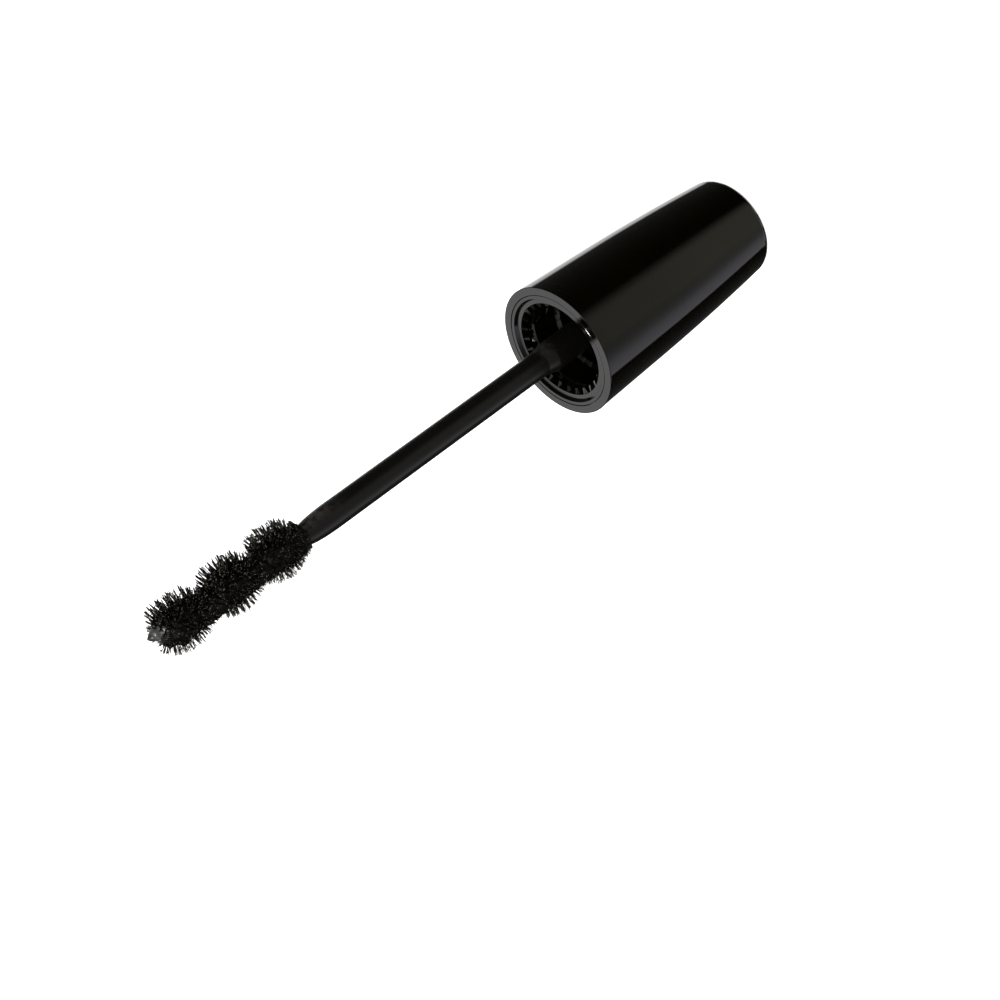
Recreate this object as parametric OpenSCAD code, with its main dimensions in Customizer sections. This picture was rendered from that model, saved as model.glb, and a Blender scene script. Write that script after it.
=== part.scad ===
// Mascara applicator: a glossy tapered cap, the threaded inner cap pressed into its mouth,
// the stem that snaps through the inner cap, and a three-lobed twisted-wire brush.
// Millimetres. +Z runs along the axis, from the cap's closed end to the tip of the brush.
// The origin is the centre of the closed end, the flat face that the applicator stands on.

/* [Outer cap] */
// Length of the cap from its closed end to its mouth
cap_len = 37.7; // [36:0.1:42]
// Radius of the mouth
mouth_r = 10.1; // [9.9:0.05:10.5]
// Radius lost for each millimetre away from the mouth
cap_taper = 0.0475; // [0.03:0.0005:0.055]
// Length next to the mouth that tapers straight, before the side curves in
straight_len = 14; // [10:0.5:20]
// Radius of the curve that draws the side in towards the closed end
side_curve_r = 430; // [300:10:600]
// Rounding of the edge of the closed end
end_round = 1.5; // [0.8:0.1:2]
// Rounding of the outer edge of the mouth
lip_round = 0.1; // [0.05:0.05:0.3]
// Thickness of the side wall
cap_wall = 1.4; // [1.2:0.05:1.5]
// Thickness of the closed end
end_wall = 1.8; // [1.2:0.1:2.5]

/* [Inner cap] */
// Radius of the flange that fills the mouth
flange_r = 8.8; // [8.7:0.05:8.9]
// Thickness of the flange
flange_t = 1.4; // [1:0.1:2]
// Gap between the edge of the flange and the cap around it
flange_gap = 0.04; // [0.02:0.01:0.12]
// Radius where the flange's face ends and the lead-in slopes down
lead_in_r = 8.3; // [8.1:0.05:8.5]
// Radius of the sunk ring at the foot of the lead-in
sunk_ring_r = 7.95; // [7.6:0.05:8.05]
// Depth of the sunk ring below the mouth
sunk_ring_depth = 0.5; // [0.4:0.1:0.8]
// Outer radius of the shoulder under the flange
shoulder_r = 8.2; // [8:0.05:8.4]
// Length of the shoulder, down to where it starts to narrow
shoulder_len = 1.6; // [1:0.1:2.5]
// Outer radius of the barrel
barrel_r = 7.5; // [7.4:0.05:7.55]
// Radius of the threaded bore, at the root of the thread
bore_r = 6.8; // [6.7:0.05:6.9]
// Outer length of the inner cap
inner_len = 21.7; // [20:0.1:23]
// Thickness of its floor
floor_t = 1.6; // [1.2:0.1:2]
// Outer radius of the hub that holds the stem
hub_r = 3.7; // [3.4:0.1:4]
// Height of the hub above the floor
hub_h = 5; // [4:0.5:6]
// Number of ribs that grip the outer cap
crush_rib_count = 8; // [6:1:12]
// Width of one of these ribs
crush_rib_w = 0.8; // [0.6:0.1:1]
// How far each rib is squeezed by the outer cap
crush = 0.04; // [0:0.01:0.06]

/* [Locking teeth] */
// Number of teeth in the ring inside the mouth
tooth_count = 26; // [20:1:32]
// Radius of the tips of the teeth
tooth_tip_r = 6.55; // [6.4:0.05:6.7]
// Radius of the bore that the teeth stand in
tooth_root_r = 7.35; // [7.1:0.05:7.5]
// Length of a tooth along the axis
tooth_len = 1.4; // [1:0.05:1.6]
// Length over which a tooth rises from a point to its full size
tooth_ramp = 0.5; // [0.3:0.05:0.8]

/* [Thread] */
// Distance between two turns
thread_pitch = 1.8; // [1.6:0.1:2.2]
// Number of turns
thread_turns = 2.5; // [1.5:0.25:3]
// Radius of the crest
thread_crest_r = 6.15; // [6.1:0.05:6.3]
// Depth of the first turn below the mouth
thread_depth = 5.4; // [4.5:0.1:6]
// Angle at which the thread starts
thread_start = 70; // [0:5:355]

/* [Stem] */
// Radius of the thick root that stands out of the mouth
root_r = 2.28; // [2.2:0.02:2.4]
// How far the thick root stands out of the mouth
root_out = 3.5; // [2:0.1:5]
// Length of the slope from the thick root to the stem
root_slope = 1.8; // [0.3:0.1:2.4]
// Radius of the stem next to its root
stem_r = 1.9; // [1.8:0.05:2]
// Radius of the stem where its nose starts
stem_end_r = 1.95; // [1.8:0.05:2]
// Distance from the mouth to the start of the nose
nose_start = 43.8; // [40:0.1:48]
// Length of the nose
nose_len = 5.4; // [4:0.1:6]
// Radius of the nose at its end
nose_r = 1.3; // [1.1:0.05:1.5]
// Radius of the part of the stem that passes through the hub
shank_r = 2.05; // [2:0.05:2.15]
// Radius of the collar that stops the stem on the hub
collar_r = 3; // [2.6:0.1:3.4]
// Thickness of that collar
collar_t = 1; // [0.8:0.1:1.5]
// Radius of the snap head behind the inner cap's floor
snap_r = 2.5; // [2.4:0.05:2.6]
// Length of the snap head
snap_len = 2.6; // [2:0.1:3]
// How much the snap head narrows towards its end
snap_lead = 0.8; // [0.4:0.1:1.2]
// Depth of the hole for the wire
wire_socket_depth = 10; // [6:0.5:14]

/* [Brush] */
// Radius of one strand of the wire
strand_r = 0.32; // [0.25:0.01:0.34]
// Gap between the two strands
strand_gap = 0.03; // [0.01:0.01:0.05]
// Length of wire in which the strands make one turn
wire_pitch = 2.4; // [2:0.1:3.5]
// Distances from the mouth to the two waists
waist_1 = 57; // [55:0.1:59]
waist_2 = 65.4; // [63:0.1:68]
// Distance from the mouth to the end of the bristles
bristle_end = 73.9; // [72:0.1:76]
// Radius over the bristles in the middle of a lobe
lobe_r = 4; // [3.6:0.1:4.4]
// Radius over the bristles at a waist
waist_r = 2.4; // [2:0.1:2.8]
// How square a lobe is: 2 is a parabola, larger is more like a barrel
lobe_squareness = 2.6; // [2:0.1:4]
// Length of the bead of mascara on the tip
bead_len = 1.2; // [0.8:0.1:2]
// Radius of the bead where it leaves the bristles
bead_r = 1.5; // [1.2:0.1:1.8]
// Distance from the axis to the middle of the bead
bead_lean = 0.9; // [0:0.1:1]

/* [Hidden] */

// True circles are drawn with this many sides
$fn = 96;

// Small overlap that joins two shapes into one solid
weld = 0.1;

// Heights above the closed end
flange_z = cap_len - flange_t;
floor_z = cap_len - inner_len;
hub_z = floor_z + floor_t + hub_h;
sunk_z = cap_len - sunk_ring_depth;
tooth_z = sunk_z - tooth_len;
tooth_foot_z = tooth_z - weld;
shoulder_z = flange_z - shoulder_len;
root_z = cap_len + root_out;
nose_z = cap_len + nose_start;
stem_end_z = nose_z + nose_len;
bristle_z = [stem_end_z, cap_len + waist_1, cap_len + waist_2, cap_len + bristle_end];

// The side of the cap follows a straight taper and then an arc
straight_z = cap_len - straight_len;
function cap_r(z) =
    mouth_r - cap_taper * (cap_len - z) - pow(max(0, straight_z - z), 2) / (2 * side_curve_r);

// The rounded end meets the side where both have the same slope
side_angle = atan(cap_taper + (straight_z - end_round) / side_curve_r);
round_z = end_round * (1 - sin(side_angle));
round_r = cap_r(round_z) - end_round * cos(side_angle);

// Numbers of straight pieces in the curved parts of the outlines
round_steps = 8;
side_steps = 14;
lobe_steps = 14;

// Half of the angle between a tooth and the next one, and a tooth's width there
tooth_half_w = PI * tooth_root_r / tooth_count / 2;
tooth_tip_half_w = tooth_half_w / 2;
tooth_top_half_w = 0.08;
// Height of the small bevels at the mouth
bevel = 0.05;

// Radius of the circle on which the centre of each strand runs
strand_orbit = strand_r + strand_gap / 2;
wire_r = strand_orbit + strand_r;
wire_clearance = 0.02;
wire_hole_r = wire_r + wire_clearance;
wire_start_z = stem_end_z - wire_socket_depth;
wire_end_z = cap_len + bristle_end - weld;
strand_sides = 6;
rings_per_turn = 8;

module outer_cap() {
    rounded_end = [
        for (i = [0:round_steps])
            let (a = -90 + (90 - side_angle) * i / round_steps)
                [round_r + end_round * cos(a), end_round + end_round * sin(a)]
    ];
    side = [
        for (i = [1:side_steps])
            let (z = round_z + (straight_z - round_z) * i / side_steps)
                [cap_r(z), z]
    ];
    lip_z = cap_len - lip_round;
    lip = [
        for (i = [0:round_steps])
            let (a = 90 * i / round_steps)
                [cap_r(lip_z) + lip_round * (cos(a) - 1), lip_z + lip_round * sin(a)]
    ];
    seat_r = flange_r + flange_gap;
    seat = [
        [seat_r + bevel, cap_len],
        [seat_r, cap_len - bevel],
        [seat_r, flange_z],
    ];
    bore = [
        for (i = [0:side_steps])
            let (z = flange_z + (end_wall - flange_z) * i / side_steps)
                [cap_r(z) - cap_wall, z]
    ];
    color([0.02, 0.02, 0.022])
        rotate_extrude()
            polygon(concat([[0, 0]], rounded_end, side, lip, seat, bore, [[0, end_wall]]));
}

// One turned solid with the flange, the stepped mouth, the barrel, the floor and the hub
module inner_cap_body() {
    rotate_extrude()
        polygon([
            [barrel_r, floor_z],
            [barrel_r, shoulder_z - (shoulder_r - barrel_r)],
            [shoulder_r, shoulder_z],
            [shoulder_r, flange_z],
            [flange_r, flange_z],
            [flange_r, cap_len - 2 * bevel],
            [flange_r - bevel, cap_len - bevel],
            [lead_in_r, cap_len - bevel],
            [sunk_ring_r, sunk_z],
            [tooth_root_r, sunk_z],
            [tooth_root_r, tooth_foot_z],
            [bore_r, tooth_foot_z - (tooth_root_r - bore_r)],
            [bore_r, floor_z + floor_t],
            [hub_r, floor_z + floor_t],
            [hub_r, hub_z],
            [shank_r, hub_z],
            [shank_r, floor_z],
        ]);
}

// Ribs that stand out of the barrel and grip the cap
module crush_ribs() {
    rib_r = function(z) cap_r(z) - cap_wall + crush;
    for (i = [0:crush_rib_count - 1])
        rotate([0, 0, 360 * i / crush_rib_count])
            rotate([90, 0, 0])
                translate([0, 0, -crush_rib_w / 2])
                    linear_extrude(crush_rib_w)
                        polygon([
                            [barrel_r - weld, floor_z],
                            [rib_r(floor_z), floor_z],
                            [rib_r(flange_z), flange_z],
                            [barrel_r - weld, flange_z],
                        ]);
}

// Each tooth rises from a point at the sunk ring to a ridge with a flat tip
module locking_teeth() {
    back = tooth_root_r + weld;
    full_z = sunk_z - tooth_ramp;
    section = function(z) [
        [tooth_tip_r, -tooth_tip_half_w, z],
        [back, -tooth_half_w, z],
        [back, tooth_half_w, z],
        [tooth_tip_r, tooth_tip_half_w, z],
    ];
    point_z = sunk_z - bevel;
    point = [[back, -tooth_top_half_w, point_z], [back, tooth_top_half_w, point_z]];
    points = concat(section(tooth_z), section(full_z), point);
    faces = [
        [0, 1, 2, 3],
        [0, 4, 5, 1],
        [1, 5, 6, 2],
        [2, 6, 7, 3],
        [3, 7, 4, 0],
        [4, 8, 5],
        [6, 9, 7],
        [5, 8, 9, 6],
        [4, 7, 9, 8],
    ];
    for (i = [0:tooth_count - 1])
        rotate([0, 0, 360 * i / tooth_count])
            polyhedron(points, faces);
}

// Ridge of the right-hand internal thread: a four-sided section swept down along a helix
module thread_ridge() {
    steps = 28;
    rings = round(thread_turns * steps);
    crest_half_w = 0.25;
    root_half_w = 0.6;
    top_z = cap_len - thread_depth;
    // The ridge rises out of the wall at both ends
    run_out = function(i) min(1, 3 * min(i, rings - i) / steps);
    crest = function(i) bore_r + weld / 2 + (thread_crest_r - bore_r - weld / 2) * run_out(i);
    section = function(i) [
        [bore_r + weld, -root_half_w],
        [bore_r + weld, root_half_w],
        [crest(i), crest_half_w],
        [crest(i), -crest_half_w],
    ];
    points = [
        for (i = [0:rings])
            let (a = thread_start - 360 * i / steps, z = top_z - thread_pitch * i / steps)
                for (p = section(i))
                    [p[0] * cos(a), p[0] * sin(a), z + p[1]]
    ];
    sides = [
        for (i = [0:rings - 1], j = [0:3])
            let (k = (j + 1) % 4)
                [4 * i + j, 4 * i + 4 + j, 4 * i + 4 + k, 4 * i + k]
    ];
    first = [[0, 1, 2, 3]];
    last = [[for (j = [3:-1:0]) 4 * rings + j]];
    polyhedron(points, concat(first, sides, last));
}

module inner_cap() {
    color([0.05, 0.05, 0.052])
        union() {
            inner_cap_body();
            crush_ribs();
            locking_teeth();
            thread_ridge();
        }
}

module stem() {
    nose = [
        for (i = [0:round_steps])
            let (a = 90 * i / round_steps)
                [nose_r + (stem_end_r - nose_r) * cos(a), nose_z + nose_len * sin(a)]
    ];
    snap_z = floor_z - snap_len;
    color([0.04, 0.04, 0.042])
        rotate_extrude()
            polygon(concat(
                [
                    [0, snap_z],
                    [snap_r - snap_lead, snap_z],
                    [snap_r, floor_z - snap_lead],
                    [snap_r, floor_z],
                    [shank_r, floor_z],
                    [shank_r, hub_z],
                    [collar_r, hub_z],
                    [collar_r, hub_z + collar_t],
                    [root_r, hub_z + collar_t],
                    [root_r, root_z - root_slope],
                    [stem_r, root_z],
                ],
                nose,
                [
                    [wire_hole_r, stem_end_z],
                    [wire_hole_r, wire_start_z],
                    [0, wire_start_z],
                ]
            ));
}

// One strand of the twisted wire; the other is the same, half a turn round
module wire_strand(half_turn) {
    length = wire_end_z - wire_start_z;
    rings = round(length / wire_pitch * rings_per_turn);
    rise = atan(wire_pitch / (2 * PI * strand_orbit));
    points = [
        for (i = [0:rings])
            let (
                a = 360 * i / rings_per_turn + half_turn,
                z = wire_start_z + length * i / rings
            )
                for (j = [0:strand_sides - 1])
                    let (
                        b = 360 * j / strand_sides,
                        out = strand_orbit + strand_r * cos(b),
                        along = strand_r * sin(b)
                    )
                        [
                            out * cos(a) + along * sin(rise) * sin(a),
                            out * sin(a) - along * sin(rise) * cos(a),
                            z + along * cos(rise),
                        ]
    ];
    sides = [
        for (i = [0:rings - 1], j = [0:strand_sides - 1])
            let (n = strand_sides, k = (j + 1) % n)
                [n * i + j, n * i + n + j, n * i + n + k, n * i + k]
    ];
    first = [[for (j = [0:strand_sides - 1]) j]];
    last = [[for (j = [strand_sides - 1:-1:0]) strand_sides * rings + j]];
    color([0.45, 0.45, 0.46])
        polyhedron(points, concat(first, sides, last));
}

module wire_strand_a() {
    wire_strand(0);
}

module wire_strand_b() {
    wire_strand(180);
}

// Envelope of the bristles between two heights, bored for the wire
module bristle_lobe(low_z, high_z) {
    outline = [
        for (i = [0:lobe_steps])
            let (
                u = 2 * i / lobe_steps - 1,
                bulge = 1 - pow(abs(u), lobe_squareness)
            )
                [waist_r + (lobe_r - waist_r) * bulge, low_z + (high_z - low_z) * i / lobe_steps]
    ];
    color([0.03, 0.03, 0.03])
        rotate_extrude()
            polygon(concat([[wire_hole_r, low_z]], outline, [[wire_hole_r, high_z]]));
}

module bristles_root() {
    bristle_lobe(bristle_z[0], bristle_z[1]);
}

module bristles_middle() {
    bristle_lobe(bristle_z[1], bristle_z[2]);
}

module bristles_tip() {
    bristle_lobe(bristle_z[2], bristle_z[3]);
}

// Bead of mascara gathered on the end of the brush
module mascara_bead() {
    color([0.2, 0.2, 0.2])
        translate([bead_lean, 0, bristle_z[3]])
            rotate_extrude()
                polygon(concat(
                    [[0, 0]],
                    [
                        for (i = [0:round_steps - 1])
                            let (a = 90 * i / round_steps)
                                [bead_r * cos(a), bead_len * sin(a)]
                    ],
                    [[0, bead_len]]
                ));
}

outer_cap();
inner_cap();
stem();
wire_strand_a();
wire_strand_b();
bristles_root();
bristles_middle();
bristles_tip();
mascara_bead();
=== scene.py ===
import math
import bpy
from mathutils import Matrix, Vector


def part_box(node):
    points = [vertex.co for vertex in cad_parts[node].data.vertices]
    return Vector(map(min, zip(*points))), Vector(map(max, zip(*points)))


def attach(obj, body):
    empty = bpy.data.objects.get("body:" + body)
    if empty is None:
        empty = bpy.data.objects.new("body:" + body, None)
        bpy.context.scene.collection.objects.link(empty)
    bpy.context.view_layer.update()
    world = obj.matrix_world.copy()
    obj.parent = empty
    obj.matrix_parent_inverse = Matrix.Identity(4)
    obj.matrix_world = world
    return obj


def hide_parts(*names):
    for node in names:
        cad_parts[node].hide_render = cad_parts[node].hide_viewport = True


bl_info = {
    "name": "Mascara Applicator",
    "version": (1, 0, 0),
    "blender": (4, 5, 0),
    "location": "3D View > Sidebar > Applicator",
    "description": "Finishes a mascara applicator and builds its bristles, mascara and studio",
    "category": "Object",
}

import bmesh
import bpy
import numpy as np
from mathutils import Quaternion, Vector, noise

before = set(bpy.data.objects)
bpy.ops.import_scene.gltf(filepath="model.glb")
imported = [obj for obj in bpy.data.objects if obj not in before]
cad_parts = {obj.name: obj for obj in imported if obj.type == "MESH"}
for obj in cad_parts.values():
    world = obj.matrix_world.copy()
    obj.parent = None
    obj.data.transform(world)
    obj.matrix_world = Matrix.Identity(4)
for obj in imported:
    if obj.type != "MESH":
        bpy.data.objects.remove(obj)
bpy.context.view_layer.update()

MM = 0.001
LOBES = ("root", "middle", "tip")
SEED = 7

# Shares of a tuft's reach that a cropped tuft keeps
CROPPED_REACH = (0.78, 0.92)
# Share of the tip lobe's length past which its fibres lean over its end
LEANING_SHARE = 0.88
# How far up those fibres lean, and how much of their reach they lose
END_LEAN = 0.3 * MM
END_DRAW = 0.22
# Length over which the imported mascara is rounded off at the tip
COAT_ROUNDING = 3.2 * MM
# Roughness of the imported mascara's surface, as a share of its radius, and the size of its lumps
COAT_LUMPS = 0.2
COAT_LUMP_SIZE = 0.5 * MM
# The same for the bead
BEAD_LUMPS = 0.22
BEAD_LUMP_SIZE = 0.9 * MM
# How many times lighter the painted glints on the bristles are than the film of mascara on the stem:
# lighter spots painted into the colour stand in for glints
PAINTED_GLINT_PALENESS = 9
# How far the thick root of the stem, with its slope, stands out of the mouth
ROOT_OUT = 3.5 * MM


# Places worked out from the frame, in metres

CAP_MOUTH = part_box("outer_cap")[1].z
STEM_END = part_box("stem")[1].z
ROOT_END = CAP_MOUTH + ROOT_OUT
BRUSH_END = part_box("bristles_tip")[1].z
BEAD_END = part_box("mascara_bead")[1].z
WIRE_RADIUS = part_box("wire_strand_a")[1].x

LOBE_BOXES = {lobe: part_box("bristles_" + lobe) for lobe in LOBES}


def lobe_ends(lobe):
    """Heights at which a lobe of the brush starts and ends."""
    low, high = LOBE_BOXES[lobe]
    return low.z, high.z


# Shader tools


class Wire:
    """One output of a shader node. Sums on it add Math nodes to the same tree."""

    def __init__(self, shader, socket):
        self.shader = shader
        self.socket = socket

    def math(self, operation, *values):
        sockets = dict(enumerate(values))
        return self.shader.wire("ShaderNodeMath", {"operation": operation}, sockets)

    def __add__(self, other):
        return self.math("ADD", self, other)

    def __sub__(self, other):
        return self.math("SUBTRACT", self, other)

    def __rsub__(self, other):
        return self.math("SUBTRACT", other, self)

    def __mul__(self, other):
        return self.math("MULTIPLY", self, other)

    def __truediv__(self, other):
        return self.math("DIVIDE", self, other)

    __radd__ = __add__
    __rmul__ = __mul__

    def sin(self):
        return self.math("SINE", self)

    def arccos(self):
        return self.math("ARCCOSINE", self)

    def larger(self, other):
        return self.math("MAXIMUM", self, other)

    def ramp(self, low, high):
        """Rises smoothly from 0 at low to 1 at high, or falls where low is the larger."""
        first, last = (0.0, 1.0) if low < high else (1.0, 0.0)
        return self.shader.wire(
            "ShaderNodeMapRange",
            {"interpolation_type": "SMOOTHSTEP"},
            {
                "Value": self,
                "From Min": min(low, high),
                "From Max": max(low, high),
                "To Min": first,
                "To Max": last,
            },
        )


class Shader:
    """Adds nodes to one node tree."""

    def __init__(self, tree):
        self.tree = tree
        tree.nodes.clear()

    def node(self, kind, settings=None, sockets=None):
        """A node with its settings made first, then its sockets given values or links."""
        new = self.tree.nodes.new(kind)
        for name, value in (settings or {}).items():
            setattr(new, name, value)
        for name, value in (sockets or {}).items():
            if isinstance(value, Wire):
                self.tree.links.new(value.socket, new.inputs[name])
            else:
                new.inputs[name].default_value = value
        return new

    def wire(self, kind, settings=None, sockets=None, output=0):
        return Wire(self, self.node(kind, settings, sockets).outputs[output])

    def place(self):
        """The point on the surface, in metres from the applicator's origin."""
        return self.wire("ShaderNodeTexCoord", output="Object")

    def split(self, vector):
        parts = self.node("ShaderNodeSeparateXYZ", None, {"Vector": vector})
        return [Wire(self, parts.outputs[i]) for i in range(3)]

    def noise(self, vector, size, detail=2.0, roughness=0.5):
        """Noise from 0 to 1 with features of about that size, in metres."""
        return self.wire(
            "ShaderNodeTexNoise",
            {"noise_dimensions": "3D"},
            {"Vector": vector, "Scale": 1 / size, "Detail": detail, "Roughness": roughness},
        )

    def stretched(self, vector, scale):
        """The same place with each axis multiplied, so that noise on it is drawn out."""
        return self.wire(
            "ShaderNodeVectorMath", {"operation": "MULTIPLY"}, {0: vector, 1: scale}
        )

    def mix(self, share, first, second):
        """A colour between two colours."""
        return self.wire(
            "ShaderNodeMix",
            {"data_type": "RGBA"},
            {"Factor": share, "A": first, "B": second},
            output="Result",
        )

    def bump(self, height, depth, before=None):
        """A normal from a height of 0 to 1 that stands that many metres proud."""
        sockets = {"Height": height, "Distance": depth, "Strength": 1.0}
        if before is not None:
            sockets["Normal"] = before
        return self.wire("ShaderNodeBump", None, sockets)

    def distance_from_axis(self, vector):
        flat = self.stretched(vector, (1, 1, 0))
        return self.wire(
            "ShaderNodeVectorMath", {"operation": "LENGTH"}, {0: flat}, output="Value"
        )

    def facing_up(self):
        """1 on faces that look along +Z, 0 elsewhere."""
        normal = self.wire("ShaderNodeNewGeometry", output="Normal")
        return self.split(normal)[2].ramp(0.9, 0.97)


def new_material(name):
    material = bpy.data.materials.new(name)
    material.use_nodes = True
    return material, Shader(material.node_tree)


def finish_material(shader, sockets):
    """Ends a material in one Principled shader with these sockets."""
    surface = shader.wire("ShaderNodeBsdfPrincipled", None, sockets)
    shader.node("ShaderNodeOutputMaterial", None, {"Surface": surface})


def solid(colour):
    return (*colour, 1.0)


# Finishes


def gloss_black(colours):
    """Polished moulded plastic. The mouth's end face keeps the fine rings of its mould."""
    material, shader = new_material("gloss_black")
    place = shader.place()
    smudges = shader.noise(place, 6 * MM, 3.0).ramp(0.45, 0.75)
    cloud = shader.noise(place, 4 * MM)
    rings = (shader.distance_from_axis(place) * (2 * math.pi / (0.16 * MM))).sin()
    end_face = shader.facing_up()
    waviness = shader.bump(shader.noise(place, 3 * MM, 1.0), 0.0012 * MM)
    ringed = shader.bump(rings * end_face, 0.002 * MM, waviness)
    finish_material(
        shader,
        {
            "Base Color": shader.mix(
                cloud, solid(colours.cap), solid([c * 1.6 for c in colours.cap])
            ),
            "Roughness": 0.03 + smudges * 0.02 + end_face * 0.03,
            "Normal": ringed,
            "IOR": 1.5,
        },
    )
    return material


def moulded_black(colours):
    """Polished plastic with the rings of its mould, and patches of dried mascara."""
    material, shader = new_material("moulded_black")
    place = shader.place()
    grain = shader.noise(place, 0.25 * MM, 4.0)
    residue = shader.noise(place, 1.6 * MM, 4.0).ramp(0.5, 0.65)
    rings = (shader.distance_from_axis(place) * (2 * math.pi / (0.14 * MM))).sin()
    end_face = shader.facing_up()
    mould = shader.bump(grain, 0.002 * MM)
    ringed = shader.bump(rings * end_face, 0.002 * MM, mould)
    finish_material(
        shader,
        {
            "Base Color": shader.mix(
                residue, solid(colours.inner_cap), solid(colours.mascara)
            ),
            "Roughness": 0.07 + grain * 0.05 + residue * 0.05,
            "Normal": ringed,
            "IOR": 1.5,
        },
    )
    return material


def satin_black(colours):
    """Satin plastic with a fine grain. One side has a film of mascara at the brush and at the root."""
    material, shader = new_material("satin_black")
    place = shader.place()
    sideways, _, height = shader.split(place)
    grain = shader.noise(place, 0.12 * MM, 4.0)
    drawn = shader.noise(shader.stretched(place, (1, 1, 0.06)), 0.3 * MM, 2.0)
    root = height.ramp(ROOT_END - 2.8 * MM, ROOT_END - 1 * MM)
    root = root * height.ramp(ROOT_END + 0.8 * MM, ROOT_END - 0.4 * MM)
    near_brush = height.ramp(STEM_END - 9 * MM, STEM_END - 1 * MM)
    unwiped = sideways.ramp(-0.4 * MM, 1.3 * MM)
    patches = shader.noise(place, 0.7 * MM, 4.0).ramp(0.25, 0.68)
    film = near_brush.larger(root * 0.5) * unwiped * patches
    surface = shader.bump(grain, 0.003 * MM)
    coated = shader.bump(film, 0.02 * MM, surface)
    finish_material(
        shader,
        {
            "Base Color": shader.mix(film, solid(colours.stem), solid(colours.dried)),
            "Roughness": 0.27 + drawn * 0.1 + film * 0.1,
            "Normal": coated,
            "IOR": 1.5,
        },
    )
    return material


def wire_steel(colours):
    """Drawn wire, smeared with mascara."""
    material, shader = new_material("wire_steel")
    place = shader.place()
    smear = shader.noise(place, 0.8 * MM, 3.0).ramp(0.35, 0.5)
    drawn = shader.noise(shader.stretched(place, (1, 1, 0.1)), 0.08 * MM)
    finish_material(
        shader,
        {
            "Base Color": shader.mix(smear, solid(colours.wire), solid(colours.mascara)),
            "Metallic": 1 - smear,
            "Roughness": 0.25 + drawn * 0.15,
        },
    )
    return material


def bristle_black(colours):
    """Nylon fibre under mascara, drier and browner towards its trimmed end, with lighter spots painted
    in as glints.
    """
    material, shader = new_material("bristle_black")
    place = shader.place()
    out = shader.distance_from_axis(place).ramp(2.4 * MM, 4.2 * MM)
    patches = shader.noise(place, 0.5 * MM, 3.0)
    beads = shader.noise(place, 0.13 * MM, 2.0)
    bare = out * patches.ramp(0.4, 0.62)
    # Painted glints: small lighter spots in the colour stand in for glints on the wet mascara; they
    # are not marks on the fibre
    painted_glints = shader.noise(place, 0.2 * MM, 1.0).ramp(0.595, 0.69)
    fibre = shader.mix(bare, solid(colours.mascara), solid(colours.fibre))
    glint_colour = solid([c * PAINTED_GLINT_PALENESS for c in colours.dried])
    finish_material(
        shader,
        {
            "Base Color": shader.mix(painted_glints, fibre, glint_colour),
            "Roughness": 0.1 + bare * 0.14,
            "Normal": shader.bump(beads, 0.02 * MM),
            "Specular IOR Level": 0.22,
        },
    )
    return material


def mascara_paste(colours):
    """Wet mascara: almost black, with a lumpy wet skin."""
    material, shader = new_material("mascara_paste")
    place = shader.place()
    lumps = shader.noise(place, 0.3 * MM, 5.0, 0.6)
    finish_material(
        shader,
        {
            "Base Color": shader.mix(
                lumps, solid(colours.mascara), solid([c * 2 for c in colours.mascara])
            ),
            "Roughness": 0.1 + lumps * 0.1,
            "Normal": shader.bump(lumps, 0.12 * MM),
            "Specular IOR Level": 0.22,
        },
    )
    return material


def bead_paste(colours):
    """The paste on the tip is thin enough to look grey, and dark at its point."""
    material, shader = new_material("bead_paste")
    place = shader.place()
    height = shader.split(place)[2]
    cloud = shader.noise(place, 0.7 * MM, 3.0)
    point = height.ramp(BEAD_END - 0.9 * MM, BEAD_END - 0.2 * MM)
    thin = (0.55 + cloud * 0.6) * (1 - point * 0.6)
    finish_material(
        shader,
        {
            "Base Color": shader.mix(thin, solid(colours.mascara), solid(colours.bead)),
            "Roughness": 0.14 + cloud * 0.2,
            "Normal": shader.bump(shader.noise(place, 0.4 * MM, 2.0), 0.05 * MM),
            "IOR": 1.48,
        },
    )
    return material


def dress(node, material):
    """Gives a CAD node its finish."""
    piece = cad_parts[node]
    for slot in piece.material_slots:
        slot.material = material


# Mesh tools


def add_piece(name, mesh, material, replaced=()):
    """Puts a finished mesh in the scene, riding on the applicator."""
    mesh.materials.append(material)
    mesh.shade_smooth()
    piece = bpy.data.objects.new(name, mesh)
    bpy.context.scene.collection.objects.link(piece)
    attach(piece, "root")
    if replaced:
        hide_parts(*replaced)
    return piece


def ring_faces(rings, sides):
    """Quads between the rings of one tube, whose points run ring by ring."""
    faces = []
    for ring in range(rings - 1):
        for side in range(sides):
            a = ring * sides + side
            b = ring * sides + (side + 1) % sides
            faces.append((a, b, b + sides, a + sides))
    return faces


def end_faces(rings, sides):
    """The two flat ends of a tube."""
    last = (rings - 1) * sides
    return [tuple(reversed(range(sides))), tuple(range(last, last + sides))]


def repeated(faces, count, stride):
    """The same faces on each of a number of pieces that have a stride of points each."""
    offsets = np.arange(count)[:, None, None] * stride
    made = []
    for corners in (3, 4):
        alike = [face for face in faces if len(face) == corners]
        if alike:
            made += (np.array(alike)[None] + offsets).reshape(-1, corners).tolist()
    return made


def ball():
    """Points and faces of a small ball with a radius of 1."""
    work = bmesh.new()
    bmesh.ops.create_icosphere(work, subdivisions=2, radius=1)
    points = np.array([vertex.co[:] for vertex in work.verts])
    faces = [tuple(vertex.index for vertex in face.verts) for face in work.faces]
    work.free()
    return points, faces


def mesh_of(name, points, faces):
    mesh = bpy.data.meshes.new(name)
    mesh.from_pydata(points.tolist(), [], faces)
    return mesh


def on_circle(radius, angle, height):
    """Points round the axis, from arrays of the same shape."""
    return np.stack([radius * np.cos(angle), radius * np.sin(angle), height], axis=-1)


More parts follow.
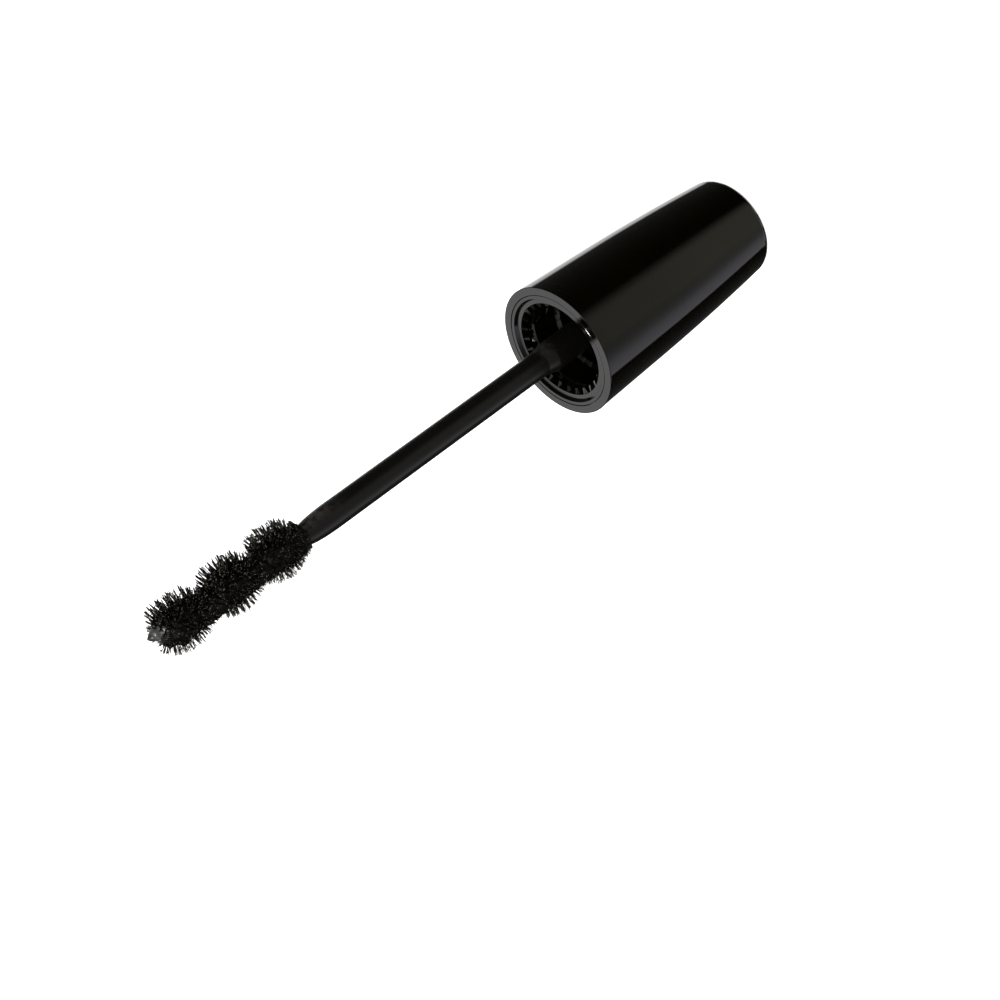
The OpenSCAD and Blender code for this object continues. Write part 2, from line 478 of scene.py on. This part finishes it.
def lobe_radius(sizes, lobe, share, angle):
    """Reach of the bristles at a share, 0 to 1, of a lobe's length and an angle round it."""
    widest = LOBE_BOXES[lobe][1].x * (1 + sizes.wiped * np.cos(angle))
    square = sizes.squareness + sizes.blockiness * np.cos(angle)
    bulge = 1 - np.abs(2 * share**sizes.skew - 1) ** square
    return sizes.waist + (widest - sizes.waist) * bulge


def tufts(sizes, lobe, rng):
    """Where the tufts of a lobe have their tips: share of its length, angle, reach, load."""
    count = sizes.tufts
    share = (np.arange(count) + rng.random(count)) / count
    golden = math.pi * (3 - math.sqrt(5))
    angle = np.arange(count) * golden + rng.normal(0, sizes.stray, count)
    reach = lobe_radius(sizes, lobe, share, angle) * rng.normal(1, sizes.ragged, count)
    cropped = rng.random(count) < sizes.cropped
    reach = np.where(cropped, reach * rng.uniform(*CROPPED_REACH, count), reach)
    return share, angle, reach, 0.5 + 0.5 * np.cos(angle)


def fibre_paths(sizes, lobe, rng):
    """Points along each fibre of a lobe, and how much mascara it carries."""
    low, high = lobe_ends(lobe)
    share, angle, reach, load = tufts(sizes, lobe, rng)
    members = np.round(sizes.bundle * (0.5 + 0.7 * load)).astype(int)
    tuft = np.repeat(np.arange(sizes.tufts), members)
    count = len(tuft)
    share, angle, reach, load = share[tuft], angle[tuft], reach[tuft], load[tuft]

    # Fibres leave the wire apart, and the mascara draws them together on their way out
    steps = np.array([0.0, 0.45, 0.78, 1.0])
    apart = (1 - steps) ** 1.5
    loose = 0.03 * MM + (1 - load) * 0.04 * MM
    base_turn = rng.normal(0, 0.08, count)
    base_slip = rng.normal(0, 0.1 * MM, count)
    tip_turn = rng.normal(0, 1, count) * loose / reach
    tip_slip = rng.normal(0, 1, count) * loose
    length = reach * rng.normal(1, 0.025, count)
    lean = 1 - sizes.splay * (1 - steps)
    radius = WIRE_RADIUS * 0.7 + (length[:, None] - WIRE_RADIUS * 0.7) * steps
    along = angle[:, None] + base_turn[:, None] * apart + tip_turn[:, None] * steps
    middle = (low + high) / 2
    height = middle + (high - low) * (share[:, None] - 0.5) * lean
    height = height + base_slip[:, None] * apart + tip_slip[:, None] * steps
    if lobe == LOBES[-1]:
        last = np.clip((share - LEANING_SHARE) / (1 - LEANING_SHARE), 0, 1)
        last = (last * (0.6 - 0.5 * np.cos(angle)))[:, None]
        height = height + last * steps**2 * END_LEAN
        radius = radius * (1 - last * steps * END_DRAW)
    return on_circle(radius, along, height), load


def fibre_mesh(sizes, lobe, rng):
    """All the fibres of a lobe in one mesh: three-sided tapered tubes with a point at the tip."""
    paths, load = fibre_paths(sizes, lobe, rng)
    count, rings = paths.shape[:2]
    sides = 3
    forward = np.gradient(paths, axis=1)
    forward /= np.linalg.norm(forward, axis=2, keepdims=True)
    across = np.cross(forward, [0.0, 0.0, 1.0])
    across /= np.linalg.norm(across, axis=2, keepdims=True)
    upward = np.cross(across, forward)
    taper = np.array([1.0, 1.05, 1.05, 0.85])
    coated = 1 + 0.5 * load + rng.uniform(-0.2, 0.3, count)
    thick = sizes.fibre / 2 * taper[None, :] * coated[:, None]
    start = rng.uniform(0, 2 * math.pi, count)
    turn = start[:, None] + np.arange(sides) * 2 * math.pi / sides
    shape = (count, rings, sides, 1)
    cosine = np.broadcast_to(np.cos(turn)[:, None, :, None], shape)
    sine = np.broadcast_to(np.sin(turn)[:, None, :, None], shape)
    ring = across[:, :, None, :] * cosine + upward[:, :, None, :] * sine
    points = paths[:, :, None, :] + ring * thick[:, :, None, None]
    tips = paths[:, -1] + forward[:, -1] * sizes.fibre * 0.6
    block = np.concatenate([points.reshape(count, -1, 3), tips[:, None, :]], axis=1)
    last = (rings - 1) * sides
    point_faces = [(last + i, last + (i + 1) % sides, rings * sides) for i in range(sides)]
    walls = repeated(ring_faces(rings, sides), count, rings * sides + 1)
    closings = repeated(point_faces + [(2, 1, 0)], count, rings * sides + 1)
    return mesh_of("fibres_" + lobe, block.reshape(-1, 3), walls + closings)


def coat_mesh(sizes, lobe):
    """Mascara packed round the wire between the fibres, as a lumpy closed body."""
    low, high = lobe_ends(lobe)
    rings, sides = 70, 90
    points = []
    for i in range(rings):
        share = i / (rings - 1)
        for j in range(sides):
            angle = 2 * math.pi * j / sides
            body = lobe_radius(sizes, lobe, share, angle) * sizes.coat
            body = max(body, sizes.waist * sizes.waist_coat)
            at = Vector(on_circle(body, angle, low + (high - low) * share))
            past = max(0, 1 - (BRUSH_END - at.z) / COAT_ROUNDING)
            body *= math.sqrt(1.001 - past**2)
            body *= 1 + COAT_LUMPS * noise.fractal(at / COAT_LUMP_SIZE, 0.7, 2.1, 4)
            points.append(on_circle(body, angle, at.z))
    faces = ring_faces(rings, sides) + end_faces(rings, sides)
    return mesh_of("coat_" + lobe, np.array(points), faces)


def clot_mesh(sizes, lobe, rng):
    """Clots of wet mascara on the tufts, most of them on the side that wasn't wiped."""
    low, high = lobe_ends(lobe)
    share, angle, reach, load = tufts(sizes, lobe, rng)
    chance = 0.35 + load
    kept = rng.choice(sizes.tufts, sizes.clots, p=chance / chance.sum())
    depth = rng.uniform(sizes.coat, 0.96, sizes.clots)
    lean = 1 - sizes.splay * (1 - depth)
    height = (low + high) / 2 + (high - low) * (share[kept] - 0.5) * lean
    centre = on_circle(reach[kept] * depth, angle[kept], height)
    ball_points, ball_faces = ball()
    size = rng.uniform(0.05, 0.1, sizes.clots) * MM
    lumps = rng.uniform(0.75, 1.2, (sizes.clots, len(ball_points), 1))
    long = np.ones((sizes.clots, 1, 3))
    long[:, 0, 2] = rng.uniform(1.0, 2.8, sizes.clots)
    points = centre[:, None, :] + ball_points * lumps * long * size[:, None, None]
    faces = repeated(ball_faces, sizes.clots, len(ball_points))
    return mesh_of("clots_" + lobe, points.reshape(-1, 3), faces)


def bead_mesh(sizes):
    """The bead on the tip: a lumpy cone drawn off to one side as the brush left the tube."""
    rings, sides = 30, 44
    low = BEAD_END - sizes.bead_length
    points = []
    for i in range(rings):
        share = i / (rings - 1)
        radius = sizes.bead * (1 - share**1.5) ** 0.75 * min(1, 0.4 + 4 * share)
        lean = sizes.bead_lean * (0.9 + 0.25 * share)
        for j in range(sides):
            height = low + (BEAD_END - low) * share
            at = Vector(on_circle(radius, 2 * math.pi * j / sides, height))
            lump = 1 + BEAD_LUMPS * noise.fractal(at / BEAD_LUMP_SIZE, 0.6, 2.0, 3)
            points.append((at.x * lump + lean, at.y * lump, at.z))
    return mesh_of("bead", np.array(points), ring_faces(rings, sides) + end_faces(rings, sides))


# Settings


class ApplicatorColours(bpy.types.PropertyGroup):
    cap: bpy.props.FloatVectorProperty(
        name="Cap",
        description="Colour of the glossy outer cap",
        subtype="COLOR",
        default=(0.0005, 0.0004, 0.0001),
        min=0,
        max=1,
    )
    inner_cap: bpy.props.FloatVectorProperty(
        name="Inner cap",
        description="Colour of the threaded inner cap",
        subtype="COLOR",
        default=(0.0012, 0.0011, 0.0007),
        min=0,
        max=1,
    )
    stem: bpy.props.FloatVectorProperty(
        name="Stem",
        description="Colour of the satin stem",
        subtype="COLOR",
        default=(0.0014, 0.0012, 0.0008),
        min=0,
        max=1,
    )
    wire: bpy.props.FloatVectorProperty(
        name="Wire",
        description="Colour of the twisted wire",
        subtype="COLOR",
        default=(0.5, 0.5, 0.51),
        min=0,
        max=1,
    )
    fibre: bpy.props.FloatVectorProperty(
        name="Fibre",
        description="Colour of a fibre where the mascara is thin",
        subtype="COLOR",
        default=(0.0025, 0.0015, 0.0008),
        min=0,
        max=1,
    )
    dried: bpy.props.FloatVectorProperty(
        name="Dried mascara",
        description="Mascara that has dried on the stem",
        subtype="COLOR",
        default=(0.02, 0.0187, 0.0155),
        min=0,
        max=1,
    )
    mascara: bpy.props.FloatVectorProperty(
        name="Mascara",
        description="Colour of the mascara where it is thick",
        subtype="COLOR",
        default=(0.0004, 0.0003, 0.0001),
        min=0,
        max=1,
    )
    bead: bpy.props.FloatVectorProperty(
        name="Bead",
        description="Colour of the thin mascara on the tip",
        subtype="COLOR",
        default=(0.055, 0.055, 0.057),
        min=0,
        max=1,
    )


class ApplicatorSizes(bpy.types.PropertyGroup):
    tufts: bpy.props.IntProperty(
        name="Tufts",
        description="Number of tufts of fibres on each lobe",
        default=540,
        min=20,
        max=1000,
    )
    bundle: bpy.props.IntProperty(
        name="Bundle",
        description="Usual number of fibres in a tuft",
        default=3,
        min=1,
        max=20,
    )
    fibre: bpy.props.FloatProperty(
        name="Fibre diameter",
        description="Diameter of a bare fibre",
        default=0.075 * MM,
        precision=6,
        unit="LENGTH",
    )
    waist: bpy.props.FloatProperty(
        name="Waist",
        description="Radius over the bristles between two lobes",
        default=2.2 * MM,
        precision=5,
        unit="LENGTH",
    )
    squareness: bpy.props.FloatProperty(
        name="Squareness",
        description="2 is a round lobe, larger is more like a barrel",
        default=3.0,
        min=1.5,
        max=5,
    )
    skew: bpy.props.FloatProperty(
        name="Skew",
        description="Above 1, a lobe is fullest towards the tip of the brush",
        default=1.25,
        min=0.5,
        max=2,
    )
    blockiness: bpy.props.FloatProperty(
        name="Blockiness",
        description="How much squarer a lobe is on the side that wasn't wiped",
        default=1.0,
        min=0,
        max=2,
    )
    stray: bpy.props.FloatProperty(
        name="Stray",
        description="How far a tuft strays from its even place round the wire",
        default=math.radians(12),
        subtype="ANGLE",
    )
    ragged: bpy.props.FloatProperty(
        name="Raggedness",
        description="How much the reach of the tufts varies",
        default=0.028,
        min=0,
        max=0.3,
    )
    cropped: bpy.props.FloatProperty(
        name="Cropped",
        description="Share of the tufts that are shorter than the rest",
        default=0.08,
        min=0,
        max=1,
    )
    splay: bpy.props.FloatProperty(
        name="Splay",
        description="How far the tufts lean outwards towards the ends of a lobe",
        default=0.24,
        min=0,
        max=0.6,
    )
    wiped: bpy.props.FloatProperty(
        name="Wiped",
        description="How much further the fibres reach on the side that wasn't wiped",
        default=0.1,
        min=0,
        max=0.3,
    )
    coat: bpy.props.FloatProperty(
        name="Coat",
        description="Share of the bristles' depth that is packed with mascara",
        default=0.6,
        min=0.3,
        max=0.9,
    )
    waist_coat: bpy.props.FloatProperty(
        name="Waist coat",
        description="Share of the waist's radius that is packed with mascara",
        default=0.9,
        min=0.3,
        max=1,
    )
    clots: bpy.props.IntProperty(
        name="Clots",
        description="Number of clots of mascara on each lobe",
        default=420,
        min=0,
        max=1000,
    )
    bead: bpy.props.FloatProperty(
        name="Bead",
        description="Radius of the bead of mascara on the tip",
        default=1.45 * MM,
        precision=5,
        unit="LENGTH",
    )
    bead_length: bpy.props.FloatProperty(
        name="Bead length",
        description="Length of the bead, from among the fibres to its point",
        default=3.0 * MM,
        precision=5,
        unit="LENGTH",
    )
    bead_lean: bpy.props.FloatProperty(
        name="Bead lean",
        description="How far the bead lies to one side of the axis",
        default=0.8 * MM,
        precision=5,
        unit="LENGTH",
    )


class ApplicatorStage(bpy.types.PropertyGroup):
    lens: bpy.props.FloatProperty(
        name="Lens",
        description="Focal length of the camera",
        default=93.6,
        subtype="DISTANCE_CAMERA",
    )
    camera_back: bpy.props.FloatProperty(
        name="Camera back",
        description="Distance of the camera from the applicator's axis",
        default=303.4 * MM,
        unit="LENGTH",
    )
    camera_up: bpy.props.FloatProperty(
        name="Camera up",
        description="Height of the camera above the mouth of the cap",
        default=200.9 * MM,
        unit="LENGTH",
    )
    aim_side: bpy.props.FloatProperty(
        name="Aim to the side",
        description="Distance of the point that the camera looks at from the axis, along X",
        default=-11.76 * MM,
        unit="LENGTH",
    )
    aim_up: bpy.props.FloatProperty(
        name="Aim up",
        description="Height of that point above the mouth of the cap",
        default=21.7 * MM,
        unit="LENGTH",
    )
    roll: bpy.props.FloatProperty(
        name="Roll",
        description="Turn of the camera about its own line of sight",
        default=math.radians(-127.16),
        subtype="ANGLE",
    )
    floor: bpy.props.FloatVectorProperty(
        name="Floor",
        description="Colour of the floor",
        subtype="COLOR",
        default=(0.86, 0.86, 0.86),
        min=0,
        max=1,
    )


# Operators


class APPLICATOR_OT_outer_cap(bpy.types.Operator):
    """Give the outer cap its polished black finish"""

    bl_idname = "applicator.outer_cap"
    bl_label = "Outer cap"

    def execute(self, context):
        dress("outer_cap", gloss_black(context.scene.applicator_colours))
        return {"FINISHED"}


class APPLICATOR_OT_inner_cap(bpy.types.Operator):
    """Give the inner cap its moulded finish"""

    bl_idname = "applicator.inner_cap"
    bl_label = "Inner cap"

    def execute(self, context):
        dress("inner_cap", moulded_black(context.scene.applicator_colours))
        return {"FINISHED"}


class APPLICATOR_OT_stem(bpy.types.Operator):
    """Give the stem its satin finish"""

    bl_idname = "applicator.stem"
    bl_label = "Stem"

    def execute(self, context):
        dress("stem", satin_black(context.scene.applicator_colours))
        return {"FINISHED"}


class APPLICATOR_OT_wire(bpy.types.Operator):
    """Give both strands of the wire their finish"""

    bl_idname = "applicator.wire"
    bl_label = "Wire"

    def execute(self, context):
        steel = wire_steel(context.scene.applicator_colours)
        for strand in ("wire_strand_a", "wire_strand_b"):
            dress(strand, steel)
        return {"FINISHED"}


class APPLICATOR_OT_bristles(bpy.types.Operator):
    """Build the fibres of the three lobes"""

    bl_idname = "applicator.bristles"
    bl_label = "Bristles"

    def execute(self, context):
        sizes = context.scene.applicator_sizes
        rng = np.random.default_rng(SEED)
        nylon = bristle_black(context.scene.applicator_colours)
        for lobe in LOBES:
            mesh = fibre_mesh(sizes, lobe, rng)
            add_piece("fibres_" + lobe, mesh, nylon, ["bristles_" + lobe])
        return {"FINISHED"}


class APPLICATOR_OT_mascara(bpy.types.Operator):
    """Pack mascara between the fibres, and leave clots and a bead on them"""

    bl_idname = "applicator.mascara"
    bl_label = "Mascara"

    def execute(self, context):
        sizes = context.scene.applicator_sizes
        colours = context.scene.applicator_colours
        rng = np.random.default_rng(SEED + 1)
        paste = mascara_paste(colours)
        for lobe in LOBES:
            add_piece("coat_" + lobe, coat_mesh(sizes, lobe), paste)
            add_piece("clots_" + lobe, clot_mesh(sizes, lobe, rng), paste)
        thin = bead_paste(colours)
        add_piece("bead", bead_mesh(sizes), thin, ["mascara_bead"])
        return {"FINISHED"}


class APPLICATOR_OT_stage(bpy.types.Operator):
    """Set up the floor, the studio light and the camera"""

    bl_idname = "applicator.stage"
    bl_label = "Studio"

    def execute(self, context):
        stage = context.scene.applicator_stage
        context.scene.view_settings.view_transform = "Standard"
        make_floor(stage)
        make_surroundings()
        make_lamp()
        make_camera(stage)
        return {"FINISHED"}


# Stage


def make_floor(stage):
    """A pale floor that glows a little, so that only a faint shadow shows on it."""
    bpy.ops.mesh.primitive_circle_add(vertices=96, radius=3, fill_type="NGON")
    floor = bpy.context.object
    floor.name = "floor"
    floor.visible_glossy = False
    material, shader = new_material("floor")
    finish_material(
        shader,
        {
            "Base Color": solid(stage.floor),
            "Roughness": 0.9,
            "Emission Color": (1, 1, 1, 1),
            "Emission Strength": 0.85,
        },
    )
    floor.data.materials.append(material)


def panel(level, centre, half_width, edge, strength):
    """A tall soft panel round the applicator, as seen in its gloss. Angles are in degrees."""
    sideways, forwards = level
    turn = math.radians(centre)
    apart = (sideways * math.cos(turn) + forwards * math.sin(turn)).arccos()
    near = apart.ramp(math.radians(half_width + edge), math.radians(half_width))
    return near * strength


def beyond(level, bearing):
    """Above 0 past a bearing round the applicator, in degrees, and below 0 before it."""
    sideways, forwards = level
    turn = math.radians(bearing)
    return forwards * math.cos(turn) - sideways * math.sin(turn)


def make_surroundings():
    """An even white room. Gloss shows its white wall, its soft panels and the dark between."""
    world = bpy.data.worlds.new("studio")
    bpy.context.scene.world = world
    world.use_nodes = True
    shader = Shader(world.node_tree)
    direction = shader.wire("ShaderNodeTexCoord", output="Generated")
    up = shader.split(direction)[2]
    flat = shader.wire(
        "ShaderNodeVectorMath",
        {"operation": "NORMALIZE"},
        {0: shader.stretched(direction, (1, 1, 0))},
    )
    level = shader.split(flat)[:2]
    wall = panel(level, centre=77, half_width=24, edge=9, strength=1.2)
    spill = panel(level, centre=77, half_width=20, edge=110, strength=0.06)
    key = panel(level, centre=175, half_width=14, edge=42, strength=0.72)
    key = key * beyond(level, 175).ramp(-0.02, 0.04)
    fill = panel(level, centre=-95, half_width=30, edge=32, strength=0.42)
    fill = fill * beyond(level, -60).ramp(0.03, -0.42)
    fill = fill * (0.45 + up.ramp(-0.52, -0.72) * 0.6)
    overhead = up.ramp(0.72, 0.92) * 0.6
    gloss = wall + spill + key + fill + overhead
    rays = shader.node("ShaderNodeLightPath")
    glossy = Wire(shader, rays.outputs["Is Glossy Ray"])
    strength = gloss * glossy + (1 - glossy)
    white, warm, cool = (1, 1, 1, 1), (1, 0.99, 0.82, 1), (0.97, 0.95, 1.05, 1)
    tint = shader.mix(fill * 2.4 * glossy, white, warm)
    tint = shader.mix(key * 1.2 * glossy, tint, cool)
    background = shader.wire(
        "ShaderNodeBackground", None, {"Color": tint, "Strength": strength}
    )
    shader.node("ShaderNodeOutputWorld", None, {"Surface": background})


def make_lamp():
    """A small soft box above and in front, which gives the mascara and the mouth their glints."""
    lamp = bpy.data.lights.new("lamp", "AREA")
    lamp.shape = "SQUARE"
    lamp.size = 0.12
    lamp.energy = 7
    lamp.color = (1, 0.97, 0.9)
    holder = bpy.data.objects.new("lamp", lamp)
    holder.location = (-0.08, -0.6, 0.8)
    towards = Vector((0, 0, CAP_MOUTH)) - holder.location
    holder.rotation_mode = "QUATERNION"
    holder.rotation_quaternion = towards.to_track_quat("-Z", "Y")
    bpy.context.scene.collection.objects.link(holder)


def make_camera(stage):
    camera = bpy.data.objects.new("camera", bpy.data.cameras.new("camera"))
    camera.data.lens = stage.lens
    camera.data.sensor_width = 36
    camera.data.clip_start = 0.01
    camera.location = (0, -stage.camera_back, CAP_MOUTH + stage.camera_up)
    aim = Vector((stage.aim_side, 0, CAP_MOUTH + stage.aim_up))
    level = (aim - camera.location).to_track_quat("-Z", "Y")
    camera.rotation_mode = "QUATERNION"
    camera.rotation_quaternion = level @ Quaternion((0, 0, 1), stage.roll)
    bpy.context.scene.collection.objects.link(camera)
    bpy.context.scene.camera = camera


# Panel and registration

STEPS = (
    APPLICATOR_OT_outer_cap,
    APPLICATOR_OT_inner_cap,
    APPLICATOR_OT_stem,
    APPLICATOR_OT_wire,
    APPLICATOR_OT_bristles,
    APPLICATOR_OT_mascara,
    APPLICATOR_OT_stage,
)


class APPLICATOR_PT_panel(bpy.types.Panel):
    """Buttons for each part of the applicator"""

    bl_label = "Applicator"
    bl_idname = "APPLICATOR_PT_panel"
    bl_space_type = "VIEW_3D"
    bl_region_type = "UI"
    bl_category = "Applicator"

    def draw(self, context):
        for step in STEPS:
            self.layout.operator(step.bl_idname)
        for group in ("colours", "sizes", "stage"):
            settings = getattr(context.scene, "applicator_" + group)
            for name in settings.bl_rna.properties.keys():
                if name not in ("rna_type", "name"):
                    self.layout.prop(settings, name)


GROUPS = {
    "applicator_colours": ApplicatorColours,
    "applicator_sizes": ApplicatorSizes,
    "applicator_stage": ApplicatorStage,
}


def register():
    for group in GROUPS.values():
        bpy.utils.register_class(group)
    for step in STEPS:
        bpy.utils.register_class(step)
    bpy.utils.register_class(APPLICATOR_PT_panel)
    for name, group in GROUPS.items():
        setattr(bpy.types.Scene, name, bpy.props.PointerProperty(type=group))


def unregister():
    for name in GROUPS:
        delattr(bpy.types.Scene, name)
    bpy.utils.unregister_class(APPLICATOR_PT_panel)
    for step in reversed(STEPS):
        bpy.utils.unregister_class(step)
    for group in reversed(GROUPS.values()):
        bpy.utils.unregister_class(group)


def main():
    register()
    bpy.ops.applicator.outer_cap()
    bpy.ops.applicator.inner_cap()
    bpy.ops.applicator.stem()
    bpy.ops.applicator.wire()
    bpy.ops.applicator.bristles()
    bpy.ops.applicator.mascara()
    bpy.ops.applicator.stage()


if __name__ == "__main__":
    main()
